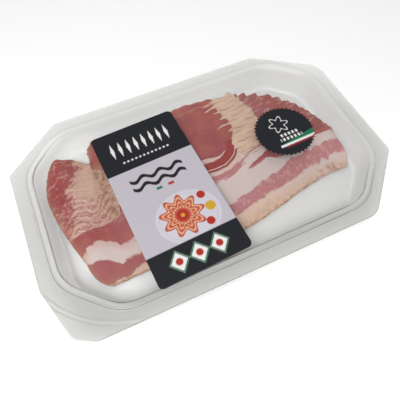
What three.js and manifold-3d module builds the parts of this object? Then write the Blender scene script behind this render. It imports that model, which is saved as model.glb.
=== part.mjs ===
// A sealed pack of sliced bacon: a thin moulded tray with a wide flange, a film
// welded over it, a printed label and a round sticker on the film, and fourteen
// long slices that lie shingled in the pocket.
//
// Millimetres, Z up. X runs along the tray, Y away from the peel edge, and the
// origin is the middle of the tray's base.
import * as THREE from 'three';
import { mergeVertices } from 'three/addons/utils/BufferGeometryUtils.js';
import Module from 'manifold-3d';

const wasm = await Module();
wasm.setup();

// Tray
const TRAY_LENGTH = 200;
const TRAY_WIDTH = 129.6;
const WALL = 0.6;
const FLANGE_TOP = 16.5;
const SEAL_STEP = 0.5;
const POCKET_LENGTH = 178;
const POCKET_WIDTH = 108.2;
const POCKET_NEAR_CUT = 22.5;
const POCKET_FAR_CUT = 19.5;
const POCKET_ROUND = 20;
const POCKET_DRAFT = 2.8;
const FLOOR_ROUND = 3;
const RIM_ROUND = 0.8;
const SEAL_TRACK = 3.6;
const ARC_STEPS = 5;

// The flange's cut corners, as legs along X and along Y
const FAR_LEFT = [31.5, 25.9];
const FAR_RIGHT = [36.5, 25.1];
const NEAR_RIGHT = [31.2, 30.9];
const FLANGE_ROUND = 12;

// The peel tab fills the near left corner, with a score line across it
const TAB_CUT = [[-100, -31.8], [-91.8, -59.4], [-81.9, -64.8]];
const TAB_ROUND = 4;
const SCORE_FROM = [-97.6, -36.6];
const SCORE_BEND = [-82.5, -56];
const SCORE_TO = [-61.5, -63.6];
const SCORE_WIDTH = 0.7;
const SCORE_DEPTH = 0.25;

// Film, label and sticker lie on each other with a hair of air
const AIR = 0.3;
const FILM = 0.2;
const FILM_INSET = 0.4;
const PAPER = 0.2;
const LABEL_SIZE = [50.4, 98];
const LABEL_ROUND = 2.5;
const LABEL_CENTRE = [-25.3, -5.4];
const LABEL_TURN = 2.6;
const STICKER_RADIUS = 17.5;
const STICKER_TEETH = 42;
const TOOTH = 1.1;
const STICKER_CENTRE = [52.3, 1.9];

// Slices: number 0 lies farthest and lowest, the last one nearest and on top
const SLICES = 14;
const LAST = SLICES - 1;
const SLICE = 0.7;
const LAYER_AIR = 0.4;
const LAYER = SLICE + LAYER_AIR;
const BED_BOTTOM = 1.65;

// Where the slices end: the far wall's line, and the shape of the right end
const FAR_LIMIT = 50.6;
const RIGHT_FROM = 30;
const RIGHT_REACH = 55;
const RIGHT_LOW = -5;
const RIGHT_HIGH = 55.5;
const RIGHT_POWER = 2.35;
const RIGHT_SLANT = 2;

// The crease across the left part, and how far it pulls in the first slices' edges
const CREASE_X = -57;
const CREASE_WIDTH = 4;
const CREASE_PULL = [0, 5.5, 2.5];

// Stations along a slice: left part as shares, middle part in X, right part as shares.
// The shortest slice starts just beyond the crease.
const LEFT_JOIN = -61;
const RIGHT_JOIN = 10;
const LEFT_SHARES = [0, 0.1, 0.28, 0.52, 0.76];
const MIDDLE_X = [LEFT_JOIN, CREASE_X - 1.2, CREASE_X + 2.5, -49, -36, -20, -4, RIGHT_JOIN];
const SHORT_SKIPS = 2;
const RIGHT_SHARES = [0.15, 0.3, 0.45, 0.6, 0.74, 0.86, 0.95, 1];
const ROW_SHARES = [0, 0.115, 0.33, 0.56, 0.78, 1];

const { clamp, lerp, smoothstep } = THREE.MathUtils;

// Outlines

// Line through the polygon's side i, moved inwards by inset, as [nx, ny, h]
function sideLine(corners, i, inset) {
  const [ax, ay] = corners[i];
  const [bx, by] = corners[(i + 1) % corners.length];
  const length = Math.hypot(bx - ax, by - ay);
  const nx = (by - ay) / length;
  const ny = (ax - bx) / length;
  return [nx, ny, nx * ax + ny * ay - inset];
}

// Corners of an anticlockwise polygon whose sides all move inwards by inset
function insetCorners(corners, inset) {
  return corners.map((_, i) => {
    const [ax, ay, ah] = sideLine(corners, (i + corners.length - 1) % corners.length, inset);
    const [bx, by, bh] = sideLine(corners, i, inset);
    const det = ax * by - ay * bx;
    return [(ah * by - ay * bh) / det, (ax * bh - ah * bx) / det];
  });
}

// Points of an anticlockwise polygon with an arc of the given radius at each corner
function roundedOutline(corners, radii, steps) {
  const points = [];
  corners.forEach((corner, i) => {
    const before = new THREE.Vector2(...corners[(i + corners.length - 1) % corners.length]);
    const here = new THREE.Vector2(...corner);
    const after = new THREE.Vector2(...corners[(i + 1) % corners.length]);
    const inward = before.sub(here).normalize();
    const onward = after.sub(here).normalize();
    const half = Math.acos(clamp(inward.dot(onward), -1, 1)) / 2;
    const tangent = radii[i] / Math.tan(half);
    const middle = here.clone().addScaledVector(
      inward.clone().add(onward).normalize(), radii[i] / Math.sin(half));
    const start = here.clone().addScaledVector(inward, tangent).sub(middle);
    const sweep = Math.PI - 2 * half;
    for (let s = 0; s <= steps; s += 1) {
      points.push(start.clone().rotateAround(new THREE.Vector2(), sweep * s / steps).add(middle));
    }
  });
  return points;
}

// A rectangle with its corners cut, each by [leg along X, leg along Y]
function cutRectangle(length, width, [nearRight, farRight, farLeft, nearLeft]) {
  const x = length / 2;
  const y = width / 2;
  return [
    [x - nearRight[0], -y], [x, -y + nearRight[1]],
    [x, y - farRight[1]], [x - farRight[0], y],
    [-x + farLeft[0], y], [-x, y - farLeft[1]],
    [-x, -y + nearLeft[1]], [-x + nearLeft[0], -y],
  ];
}

const pocketCorners = cutRectangle(POCKET_LENGTH, POCKET_WIDTH, [
  POCKET_NEAR_CUT, POCKET_FAR_CUT, POCKET_FAR_CUT, POCKET_NEAR_CUT,
].map((leg) => [leg, leg]));
const flangeCorners = [
  ...cutRectangle(TRAY_LENGTH, TRAY_WIDTH, [NEAR_RIGHT, FAR_RIGHT, FAR_LEFT, [1, 1]]).slice(0, 6),
  ...TAB_CUT,
];

function pocketOutline(inset) {
  const corners = insetCorners(pocketCorners, inset);
  return roundedOutline(corners, corners.map(() => POCKET_ROUND - inset), ARC_STEPS);
}

function flangeOutline(inset) {
  const radii = flangeCorners.map((_, i) => (i < 6 ? FLANGE_ROUND : TAB_ROUND));
  return roundedOutline(insetCorners(flangeCorners, inset), radii, ARC_STEPS);
}

// Solids

function plate(points, bottom, thickness) {
  const geometry = new THREE.ExtrudeGeometry(
    new THREE.Shape(points), { depth: thickness, bevelEnabled: false });
  return geometry.translate(0, 0, bottom);
}

// Closed solid through level rings with the same number of points, from low to high
function loft(rings) {
  const count = rings[0].points.length;
  const positions = rings.flatMap(({ points, z }) => points.flatMap((p) => [p.x, p.y, z]));
  const index = [];
  for (let r = 0; r < rings.length - 1; r += 1) {
    for (let i = 0; i < count; i += 1) {
      const a = r * count + i;
      const b = r * count + (i + 1) % count;
      index.push(a, b, b + count, a, b + count, a + count);
    }
  }
  const top = (rings.length - 1) * count;
  THREE.ShapeUtils.triangulateShape(rings[0].points, []).forEach(([a, b, c]) => {
    index.push(a, c, b);
    index.push(top + a, top + b, top + c);
  });
  const geometry = new THREE.BufferGeometry();
  geometry.setAttribute('position', new THREE.Float32BufferAttribute(positions, 3));
  geometry.setIndex(index);
  return geometry;
}

function toManifold(geometry) {
  const bare = geometry.clone();
  bare.deleteAttribute('normal');
  bare.deleteAttribute('uv');
  const merged = mergeVertices(bare);
  return new wasm.Manifold(new wasm.Mesh({
    numProp: 3,
    vertProperties: merged.attributes.position.array,
    triVerts: new Uint32Array(merged.index.array),
  }));
}

function fromManifold(solid) {
  const mesh = solid.getMesh();
  const geometry = new THREE.BufferGeometry();
  geometry.setAttribute('position', new THREE.Float32BufferAttribute(mesh.vertProperties, 3));
  geometry.setIndex(new THREE.Uint32BufferAttribute(mesh.triVerts, 1));
  return geometry;
}

// Tray: the pocket's wall leans in by the draft, and the floor meets it in an arc

function pocketRings(offset, floor, top) {
  const lean = (z) => POCKET_DRAFT * (1 - z / FLANGE_TOP);
  const rings = [];
  const arcSteps = 3;
  for (let s = 0; s <= arcSteps; s += 1) {
    const angle = (Math.PI / 2) * (s / arcSteps);
    const z = floor + FLOOR_ROUND * (1 - Math.cos(angle));
    const inset = offset + lean(z) + FLOOR_ROUND * (1 - Math.sin(angle));
    rings.push({ points: pocketOutline(inset), z });
  }
  rings.push({ points: pocketOutline(offset + lean(top)), z: top });
  return rings;
}

function scoreLine() {
  const curve = new THREE.QuadraticBezierCurve(
    new THREE.Vector2(...SCORE_FROM), new THREE.Vector2(...SCORE_BEND), new THREE.Vector2(...SCORE_TO));
  const middle = curve.getPoints(8);
  const side = (sign) => middle.map((p, i) => {
    const t = curve.getTangent(i / 8);
    return new THREE.Vector2(p.x - sign * t.y * SCORE_WIDTH / 2, p.y + sign * t.x * SCORE_WIDTH / 2);
  });
  return plate([...side(-1), ...side(1).reverse()], FLANGE_TOP - SCORE_DEPTH, SCORE_DEPTH + 1);
}

function trayGeometry() {
  const sealTop = FLANGE_TOP + SEAL_STEP;
  const flange = toManifold(plate(flangeOutline(0), FLANGE_TOP - WALL, WALL));
  const track = toManifold(plate(pocketOutline(-SEAL_TRACK), FLANGE_TOP - WALL / 2, SEAL_STEP + WALL / 2));
  const body = toManifold(loft(pocketRings(-WALL, 0, FLANGE_TOP - WALL / 2)));
  const hollow = toManifold(loft([
    ...pocketRings(0, WALL, sealTop - RIM_ROUND),
    { points: pocketOutline(-0.3 * RIM_ROUND), z: sealTop - 0.3 * RIM_ROUND },
    { points: pocketOutline(-RIM_ROUND), z: sealTop + 0.001 },
    { points: pocketOutline(-RIM_ROUND), z: sealTop + 1 },
  ]));
  const score = toManifold(scoreLine());
  return fromManifold(flange.add(track).add(body).subtract(hollow).subtract(score));
}

// Slices: every one is a long strip across the tray. Its far edge shows, and the
// next nearer slice covers the rest. All of them share one smooth bed, so the
// same height of air lies between any two.

const smooth = (from, to, x) => smoothstep(x, from, to);

// A rounded bump of width w round c
const bump = (x, c, w) => Math.exp(-(((x - c) / w) ** 2));

// The step from one far edge to the next, and the far edges of slice 6 and slice 0:
// on the right the ridges draw together and then fan out
const MIDDLE_SLICE = 6;
const pitch = (x) => 4.12 - 0.16 * smooth(-64, -50, x) - 0.31 * smooth(10, 32, x) + 0.93 * smooth(34, 60, x);
const middleEdge = (x) => 20.3 + 5.9 * smooth(-64, -50, x) + 0.8 * smooth(10, 35, x)
  + 4.5 * smooth(32, 60, x) + 1.5 * bump(x, -76, 7);
const farEdge = (x) => middleEdge(x) + MIDDLE_SLICE * pitch(x);

// Near edge of the nearest slice
const nearEdge = (x) => -38.4 + 11 * smooth(2, 72, x) - 1 * smooth(72, 84, x);

// Left outline of the pile: an ellipse at the far corner, one at the near corner
// and a long slant between them
function leftEnd(y) {
  if (y > 20) return -72 - 14.2 * Math.sqrt(Math.max(0.05, 1 - ((y - 20) / 24) ** 2));
  if (y > -24) return -86.2 + 9 * ((20 - y) / 44) ** 1.6;
  return -64 - 13.2 * Math.sqrt(Math.max(0.12, 1 - ((y + 24) / 15.5) ** 2));
}

// Right outline: a rounded far corner, then nearly straight to the near edge
function rightEnd(y) {
  const rise = clamp((y - RIGHT_LOW) / RIGHT_HIGH, 0, 1);
  const run = Math.max(0.03, 1 - rise ** RIGHT_POWER) ** (1 / RIGHT_POWER);
  return RIGHT_FROM + RIGHT_REACH * run - 1.3 * (1 - smooth(-12, 0, y)) - 3 * (1 - smooth(-29, -20, y));
}

// The same rounded corner as a height over X, to tell how many slices end before x
function rightOutline(x) {
  const run = clamp((x - RIGHT_FROM) / RIGHT_REACH, 0, 0.975);
  return RIGHT_LOW + RIGHT_HIGH * (1 - run ** RIGHT_POWER) ** (1 / RIGHT_POWER);
}

// How many slices are missing below (x, y), smoothly: those that end nearer the
// far wall than y, and on the right those that end before x
function missing(x, y) {
  const nearer = LAST - (y - nearEdge(x)) / pitch(x);
  const ended = (farEdge(x) - rightOutline(x)) / pitch(x);
  const blend = 0.6;
  return blend * Math.log(1 + Math.exp(nearer / blend) + Math.exp(ended / blend));
}

// The bed's own rise: up the far wall and the right wall, a hump at the left
// before the crease that is highest in the far corner, a slow swell in the middle,
// and a dome at the far wall
function bedRise(x, y) {
  const far = 6.4 * clamp((y - 16) / 35, 0, 1) ** 2;
  const right = 3.6 * clamp((x - 56) / 29, 0, 1) ** 2;
  const back = smooth(-34, -8, y);
  const hump = 2.6 * bump(x, -73, 9) * back + 4.6 * bump(x, -77, 9) * smooth(16, 42, y);
  const middle = 0.9 * smooth(CREASE_X, -46, x) * (1 - smooth(20, 60, x)) * back;
  const dome = 2.2 * bump(x, 13, 15) * smooth(28, 50, y);
  return far + right + hump + middle + dome;
}

const bed = (x, y, slice) => BED_BOTTOM + LAYER * (slice - missing(x, y)) + bedRise(x, y);

function sliceGeometry(slice) {
  const short = slice === 0;
  const stations = [
    ...(short ? [] : LEFT_SHARES.map((s) => ({ side: 'left', s }))),
    ...MIDDLE_X.slice(short ? SHORT_SKIPS : 0).map((x) => ({ side: 'middle', x })),
    ...RIGHT_SHARES.map((s) => ({ side: 'right', s })),
  ];
  const pull = CREASE_PULL[slice] ?? 0;
  const notch = (x) => pull * bump(x, CREASE_X - 1.5, CREASE_WIDTH);
  const wave = (x) => 0.35 * Math.sin(0.31 * x + 2.4 * slice) + 0.25 * Math.sin(0.83 * x + 1.1 * slice);
  const edgeAt = (x) => Math.min(farEdge(x) - slice * pitch(x), FAR_LIMIT) - notch(x) + wave(x);
  const nearAt = (x) => nearEdge(x) + (LAST - slice) * pitch(x) + 0.4 * wave(x + 20);
  const yAt = (x, v) => lerp(edgeAt(x), nearAt(x), v);
  const settle = (end, guess, v) => {
    let tip = guess;
    for (let i = 0; i < 12; i += 1) tip = lerp(tip, end(yAt(tip, v)), 0.5);
    return tip;
  };
  // The right end is cut nearly square from where the far edge meets the outline
  const rightTip = settle(rightEnd, 40, 0);
  const place = ({ side, s, x }, v) => {
    if (side === 'middle') return [x, yAt(x, v)];
    if (side === 'right') {
      const end = Math.min(rightTip + RIGHT_SLANT * v, settle(rightEnd, rightTip, v));
      const at = lerp(RIGHT_JOIN, end, s);
      return [at, yAt(at, v)];
    }
    const at = lerp(settle(leftEnd, -80, v), LEFT_JOIN, s);
    return [at, yAt(at, v)];
  };
  const columns = stations.length;
  const rows = ROW_SHARES.length;
  const positions = [];
  for (const lift of [0, SLICE]) {
    for (const v of ROW_SHARES) {
      for (const station of stations) {
        const [x, y] = place(station, v);
        positions.push(x, y, bed(x, y, slice) + lift);
      }
    }
  }
  const index = [];
  const quad = (a, b, c, d) => index.push(a, b, c, a, c, d);
  const at = (row, column, face) => (face * rows + row) * columns + column;
  for (let r = 0; r < rows - 1; r += 1) {
    for (let c = 0; c < columns - 1; c += 1) {
      quad(at(r, c, 1), at(r + 1, c, 1), at(r + 1, c + 1, 1), at(r, c + 1, 1));
      index.push(at(r, c, 0), at(r + 1, c + 1, 0), at(r + 1, c, 0));
      index.push(at(r, c, 0), at(r, c + 1, 0), at(r + 1, c + 1, 0));
    }
  }
  for (let c = 0; c < columns - 1; c += 1) {
    quad(at(0, c, 1), at(0, c + 1, 1), at(0, c + 1, 0), at(0, c, 0));
    quad(at(rows - 1, c, 0), at(rows - 1, c + 1, 0), at(rows - 1, c + 1, 1), at(rows - 1, c, 1));
  }
  for (let r = 0; r < rows - 1; r += 1) {
    quad(at(r, 0, 0), at(r + 1, 0, 0), at(r + 1, 0, 1), at(r, 0, 1));
    const c = columns - 1;
    quad(at(r, c, 1), at(r + 1, c, 1), at(r + 1, c, 0), at(r, c, 0));
  }
  const geometry = new THREE.BufferGeometry();
  geometry.setAttribute('position', new THREE.Float32BufferAttribute(positions, 3));
  geometry.setIndex(index);
  return geometry;
}

// Label and sticker

function labelOutline() {
  const [width, height] = LABEL_SIZE;
  const corners = [
    [width / 2, -height / 2], [width / 2, height / 2], [-width / 2, height / 2], [-width / 2, -height / 2],
  ];
  return roundedOutline(corners, Array(4).fill(LABEL_ROUND), ARC_STEPS);
}

function stickerOutline() {
  const points = [];
  for (let i = 0; i < 2 * STICKER_TEETH; i += 1) {
    const angle = Math.PI * i / STICKER_TEETH;
    const radius = STICKER_RADIUS - (i % 2) * TOOTH;
    points.push(new THREE.Vector2(radius * Math.cos(angle), radius * Math.sin(angle)));
  }
  return points;
}

// Assembly

const group = new THREE.Group();

function addMesh(name, geometry, color, roughness, opacity = 1) {
  const material = new THREE.MeshStandardMaterial({
    color, roughness, metalness: 0, transparent: opacity < 1, opacity,
  });
  const mesh = new THREE.Mesh(geometry, material);
  mesh.name = name;
  group.add(mesh);
  return mesh;
}

const filmBottom = FLANGE_TOP + SEAL_STEP + AIR;
const paperBottom = filmBottom + FILM + AIR;

addMesh('tray', trayGeometry(), 0xdcdcd8, 0.25, 0.5);
addMesh('film', plate(flangeOutline(FILM_INSET), filmBottom, FILM), 0xe8e8e6, 0.15, 0.25);

const label = addMesh('label', plate(labelOutline(), 0, PAPER), 0xc9c6cf, 0.35);
label.position.set(...LABEL_CENTRE, paperBottom);
label.rotation.z = THREE.MathUtils.degToRad(LABEL_TURN);

const sticker = addMesh('sticker', plate(stickerOutline(), 0, PAPER), 0x22242a, 0.35);
sticker.position.set(...STICKER_CENTRE, paperBottom);

for (let slice = 0; slice < SLICES; slice += 1) {
  const number = String(slice + 1).padStart(2, '0');
  addMesh(`slice_${number}`, sliceGeometry(slice), slice % 2 ? 0xa85f5f : 0xd0b0a0, 0.4);
}

export default group;
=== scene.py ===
# %% [markdown]
# # A sealed pack of sliced bacon
# The pack is a thin clear tray with fourteen slices shingled in its pocket, a film welded
# over the top, a printed label and a round toothed sticker. All lengths are worked out in
# millimetres and turned to metres only when a mesh is made.

# %% Load the frame
from types import SimpleNamespace
import bpy
import numpy as np
from mathutils import Matrix, Vector


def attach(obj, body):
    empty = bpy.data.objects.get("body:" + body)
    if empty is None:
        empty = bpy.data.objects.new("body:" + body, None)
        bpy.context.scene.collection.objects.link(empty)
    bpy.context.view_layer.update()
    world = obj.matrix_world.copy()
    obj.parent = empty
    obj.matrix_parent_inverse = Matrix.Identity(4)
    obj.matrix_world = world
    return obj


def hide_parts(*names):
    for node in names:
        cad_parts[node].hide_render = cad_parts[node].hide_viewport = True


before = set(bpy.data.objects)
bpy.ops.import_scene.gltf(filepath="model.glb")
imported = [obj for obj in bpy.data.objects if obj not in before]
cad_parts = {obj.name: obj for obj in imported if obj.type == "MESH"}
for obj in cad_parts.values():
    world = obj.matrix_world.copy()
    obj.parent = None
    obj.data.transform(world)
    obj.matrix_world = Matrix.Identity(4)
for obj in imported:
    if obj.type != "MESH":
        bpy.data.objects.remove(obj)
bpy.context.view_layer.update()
print("solids in the frame:", len(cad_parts))

# %% [markdown]
# ## Camera
# The picture looks down on the pack from its near left. The place and the aim were worked
# out from the straight edges of the tray, so the camera is set by numbers: where it is,
# the point on the film it aims at, and a roll of one degree.

# %% Camera
MM = 0.001
CAMERA_AT = Vector((-51.0, -109.5, 196.7)) * MM
CAMERA_AIM = Vector((-11.2, -18.9, 17.0)) * MM
CAMERA_ROLL = -1.04
CAMERA_LENS, CAMERA_SENSOR = 35.02, 36.0
CAMERA_NEAREST = 0.005

camera = bpy.data.objects.new("camera", bpy.data.cameras.new("camera"))
bpy.context.collection.objects.link(camera)
camera.data.lens = CAMERA_LENS
camera.data.sensor_width = CAMERA_SENSOR
camera.data.clip_start = CAMERA_NEAREST
turn = (CAMERA_AIM - CAMERA_AT).to_track_quat("-Z", "Y").to_matrix()
camera.matrix_world = (Matrix.Translation(CAMERA_AT)
                       @ (turn @ Matrix.Rotation(np.radians(CAMERA_ROLL), 3, "Z")).to_4x4())
bpy.context.scene.camera = camera
print("camera to film:", round((CAMERA_AIM - CAMERA_AT).length / MM), "mm")

# %% [markdown]
# ## Small helpers
# Colours are written as hex values, as a paint chart gives them, and a renderer works with
# linear light, so one function turns one into the other. One small function adds any shader
# node with its settings and links, and another lays colours over each other. The rest are
# ramps, noise and a function that hands whole arrays of points and faces to a mesh.


# %% Colours and nodes
def colour(hex_text):
    """sRGB hex to linear: a straight foot below 0.04045, a power of 2.4 above it."""
    srgb = np.array([int(hex_text[i:i + 2], 16) for i in (1, 3, 5)]) / 255
    linear = np.where(srgb <= 0.04045, srgb / 12.92, ((srgb + 0.055) / 1.055) ** 2.4)
    return (*linear.tolist(), 1.0)


def add_node(tree, kind, inputs=None, output=0, **settings):
    """Adds one node and gives back one of its outputs.

    Settings are the node's own properties. Each input takes a number, a colour as hex text,
    or the output of another node.
    """
    node = tree.nodes.new("ShaderNode" + kind)
    for name, value in settings.items():
        setattr(node, name, value)
    for key, value in (inputs or {}).items():
        if isinstance(value, bpy.types.NodeSocket):
            tree.links.new(value, node.inputs[key])
        else:
            node.inputs[key].default_value = colour(value) if isinstance(value, str) else value
    return node.outputs[output] if len(node.outputs) else node


def new_material(name):
    """An empty node material, and the tree to build in."""
    material = bpy.data.materials.new(name)
    material.use_nodes = True
    material.node_tree.nodes.clear()
    return material, material.node_tree


def layered(tree, base, layers):
    """Colours laid over each other; each layer is a mask, from 0 to 1, and a colour.

    Below * (1 - mask) + above * mask. A Mix node has its two colours at inputs 6 and 7.
    """
    for mask, above in layers:
        base = add_node(tree, "Mix", {0: mask, 6: base, 7: above}, 2, data_type="RGBA")
    return base


print("white becomes", colour("#FFFFFF")[:3])


# %% Ramps and noise
def smooth(low, high, x):
    """0 below low, 1 above high, and 3t^2 - 2t^3 between them."""
    t = np.clip((x - low) / (high - low), 0, 1)
    return t * t * (3 - 2 * t)


def mix(a, b, t):
    """a where t is 0, b where t is 1, and the straight line between them."""
    return a + (b - a) * t


def bump(x, centre, width):
    """A rounded bump: e to the minus square of the distance in widths."""
    return np.exp(-((x - centre) / width) ** 2)


LATTICE = 64


def lattice_noise(x, y, size, seed):
    """Random heights from -1 to 1 on a square lattice of the given size, joined by smooth steps."""
    table = np.random.default_rng(seed).uniform(-1, 1, (LATTICE, LATTICE))
    u, v = x / size, y / size
    i, j = np.floor(u).astype(int), np.floor(v).astype(int)
    a, b = smooth(0, 1, u - i), smooth(0, 1, v - j)
    i, j, right, up = (k % LATTICE for k in (i, j, i + 1, j + 1))
    low = mix(table[i, j], table[right, j], a)
    high = mix(table[i, up], table[right, up], a)
    return mix(low, high, b)


def plan_noise(x, y, size, seed):
    """Noise over the pack as it is seen from above, in millimetres."""
    return lattice_noise(x + 200, y + 200, size, seed)


def streaks(x, y, turned, length, width, seed):
    """Noise stretched along a direction, in millimetres."""
    a = np.radians(turned)
    u, v = x * np.cos(a) + y * np.sin(a), y * np.cos(a) - x * np.sin(a)
    return lattice_noise(u / length + 40, v / width + 40, 1.0, seed)


print("noise at one place:", round(float(lattice_noise(np.array(3.2), np.array(1.1), 2.0, 1)), 3))


# %% Meshes from arrays
def make_piece(name, points, faces, material, replaces):
    """Points in millimetres and arrays of faces become one piece on the pack's only body."""
    mesh = bpy.data.meshes.new(name)
    mesh.vertices.add(len(points))
    mesh.vertices.foreach_set("co", (points * MM).astype(np.float32).ravel())
    corners = np.concatenate([f.ravel() for f in faces])
    sizes = np.concatenate([np.full(len(f), f.shape[1]) for f in faces])
    mesh.loops.add(len(corners))
    mesh.loops.foreach_set("vertex_index", corners.astype(np.int32))
    mesh.polygons.add(len(sizes))
    starts = np.concatenate([[0], np.cumsum(sizes)[:-1]])
    mesh.polygons.foreach_set("loop_start", starts.astype(np.int32))
    mesh.polygons.foreach_set("use_smooth", np.ones(len(sizes), bool))
    mesh.update(calc_edges=True)
    mesh.materials.append(material)
    piece = bpy.data.objects.new(name, mesh)
    bpy.context.collection.objects.link(piece)
    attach(piece, "root")
    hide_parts(*replaces)
    print(name, len(points), "points", len(sizes), "faces")
    return piece


def grid_faces(rows, columns, first=0, closed=False):
    """Quads between the rows of a grid; closed joins its last column to its first."""
    r, c = np.meshgrid(np.arange(rows - 1), np.arange(columns if closed else columns - 1),
                       indexing="ij")
    a = first + r * columns + c
    b = first + r * columns + (c + 1) % columns
    return np.stack([a, b, b + columns, a + columns], -1).reshape(-1, 4)


def set_marks(piece, marks):
    """Stores each number on the points; a sheet's numbers serve its upper and lower face."""
    for name, values in marks.items():
        layer = piece.data.attributes.new(name, "FLOAT", "POINT")
        sheets = len(piece.data.vertices) // values.size
        layer.data.foreach_set("value", np.tile(values.ravel(), sheets).astype(np.float32))


print("quads of a 3 by 4 grid:", len(grid_faces(3, 4)))

# %% [markdown]
# ## Outlines of the tray
# The tray is pressed from a sheet of clear plastic. Seen from above, its flange and its
# pocket are rectangles with cut, rounded corners. Such an outline can be walked corner by
# corner; here it is wanted as a radius for each direction from the middle, because then
# every ring of the tray has the same number of points and rings of different outlines can
# be joined to each other.

# %% Sizes of the tray
TRAY_LENGTH, TRAY_WIDTH = 200.0, 129.6
WALL = 0.6
FLANGE_TOP = 16.5
SEAL_TOP = 17.0
SEAL_TRACK = 3.6
POCKET_LENGTH, POCKET_WIDTH = 178.0, 108.2
POCKET_ROUND = 20.0
POCKET_DRAFT = 2.8
FLOOR_ROUND = 3.0
FLANGE_ROUND = np.array([12.0, 2.5, 12.0, 5.0, 6.0, 4.0, 4.0, 4.0, 4.0])
DIRECTIONS = 800

angles = np.arange(DIRECTIONS) / DIRECTIONS * 2 * np.pi


def cut_rectangle(length, width, near_right, far_right, far_left, near_left):
    """Corners of a rectangle whose own corners are cut by legs along X and Y, anticlockwise."""
    x, y = length / 2, width / 2
    return np.array([
        (x - near_right[0], -y), (x, near_right[1] - y), (x, y - far_right[1]),
        (x - far_right[0], y), (far_left[0] - x, y), (-x, y - far_left[1]),
        (-x, near_left[1] - y), (near_left[0] - x, -y)])


pocket_corners = cut_rectangle(POCKET_LENGTH, POCKET_WIDTH,
                               (22.5, 22.5), (19.5, 19.5), (19.5, 19.5), (22.5, 22.5))
flange_corners = np.vstack([
    cut_rectangle(TRAY_LENGTH, TRAY_WIDTH, (31.2, 30.9), (36.5, 25.1), (31.5, 25.9), (1, 1))[:6],
    [(-100.0, -31.8), (-91.8, -59.4), (-81.9, -64.8)]])
print("corners:", len(pocket_corners), len(flange_corners))


# %% Rounded outlines by direction
def rounded_radius(corners, radii, inset):
    """Distance from the middle to a rounded polygon, for each direction.

    Each side moves inwards by the inset. At each corner an arc touches both sides, and the
    whole line is laid out in fine steps and read off by its angle.
    """
    side = np.roll(corners, -1, 0) - corners
    normal = np.stack([side[:, 1], -side[:, 0]], -1) / np.linalg.norm(side, axis=1)[:, None]
    height = (normal * corners).sum(1) - inset
    before, before_height = np.roll(normal, 1, 0), np.roll(height, 1)
    det = before[:, 0] * normal[:, 1] - before[:, 1] * normal[:, 0]
    corner = np.stack([(before_height * normal[:, 1] - before[:, 1] * height) / det,
                       (before[:, 0] * height - before_height * normal[:, 0]) / det], -1)
    half = np.arccos(np.clip((before * normal).sum(1), -1, 1)) / 2
    inward = -(before + normal) / np.linalg.norm(before + normal, axis=1)[:, None]
    centre = corner + inward * (radii / np.cos(half))[:, None]
    start = np.arctan2(before[:, 1], before[:, 0])
    steps = np.linspace(0, 1, 40)
    arc = start[:, None] + 2 * half[:, None] * steps
    x = centre[:, :1] + radii[:, None] * np.cos(arc)
    y = centre[:, 1:] + radii[:, None] * np.sin(arc)
    line = np.stack([x.ravel(), y.ravel()], -1)
    line = np.vstack([line, line[:1]])
    along = np.concatenate([[0], np.cumsum(np.linalg.norm(np.diff(line, axis=0), axis=1))])
    fine = np.linspace(0, along[-1], 6000, endpoint=False)
    x, y = np.interp(fine, along, line[:, 0]), np.interp(fine, along, line[:, 1])
    angle = np.arctan2(y, x) % (2 * np.pi)
    order = np.argsort(angle)
    return np.interp(angles, angle[order], np.hypot(x, y)[order], period=2 * np.pi)


def pocket(inset):
    """Radius of the pocket's mould line, moved inwards by the inset."""
    return rounded_radius(pocket_corners, np.full(8, POCKET_ROUND - inset), inset)


def flange(inset):
    """Radius of the flange's edge, moved inwards by the inset."""
    return rounded_radius(flange_corners, FLANGE_ROUND - inset, inset)


def ring(radius, z):
    """One ring of points: a radius and a height for each direction."""
    height = np.broadcast_to(z, angles.shape)
    return np.stack([radius * np.cos(angles), radius * np.sin(angles), height], -1)


print("pocket reaches", pocket(0).max().round(1), "flange reaches", flange(0).max().round(1))


# %% A closed shell from rings
def shell(rings, first_middle, last_middle):
    """Rings joined by quads, and a fan from a middle point at each end."""
    points = np.vstack([*rings, [first_middle], [last_middle]])
    count, size = len(rings), len(rings[0])
    i = np.arange(size)
    j = (i + 1) % size
    low = np.stack([np.full(size, count * size), i, j], -1)
    high = np.stack([np.full(size, count * size + 1), (count - 1) * size + j,
                     (count - 1) * size + i], -1)
    return points, [grid_faces(count, size, closed=True)[:, ::-1], low, high]


print("faces of a shell with two rings:",
      [len(f) for f in shell([ring(1, 0), ring(1, 1)], (0, 0, 0), (0, 0, 1))[1]])

# %% [markdown]
# ## Clear plastic of the tray
# The tray is clear PET, drawn hot into a mould. Clear plastic could be glass with
# refraction, but a thin sheet bends no light to speak of, and what the eye gets is a faint
# grey veil with fine dark and bright lines along its bends. So the material is a glossy
# dielectric that is mostly see-through. Drawing thins the pocket, so its veil is faint,
# and the flange, with the film welded on, keeps a dense one. Two more numbers on the
# points paint those lines: painted shade lines and painted highlights along the bends.

# %% PET material
RIPPLE = 100 / 9
VEIL_POCKET, VEIL_FLANGE, VEIL_ASLANT = 0.03, 0.5, 0.14
# painted shade lines and painted highlights along the bends: the veil each adds and its tint
VEIL_SHADE_LINE, VEIL_HIGHLIGHT = 0.75, 0.35
PET_THIN, PET_THICK, PET_SHADE_LINE, PET_HIGHLIGHT = "#D8D7D2", "#BEBDB8", "#4E4C49", "#F4F4F2"

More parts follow.
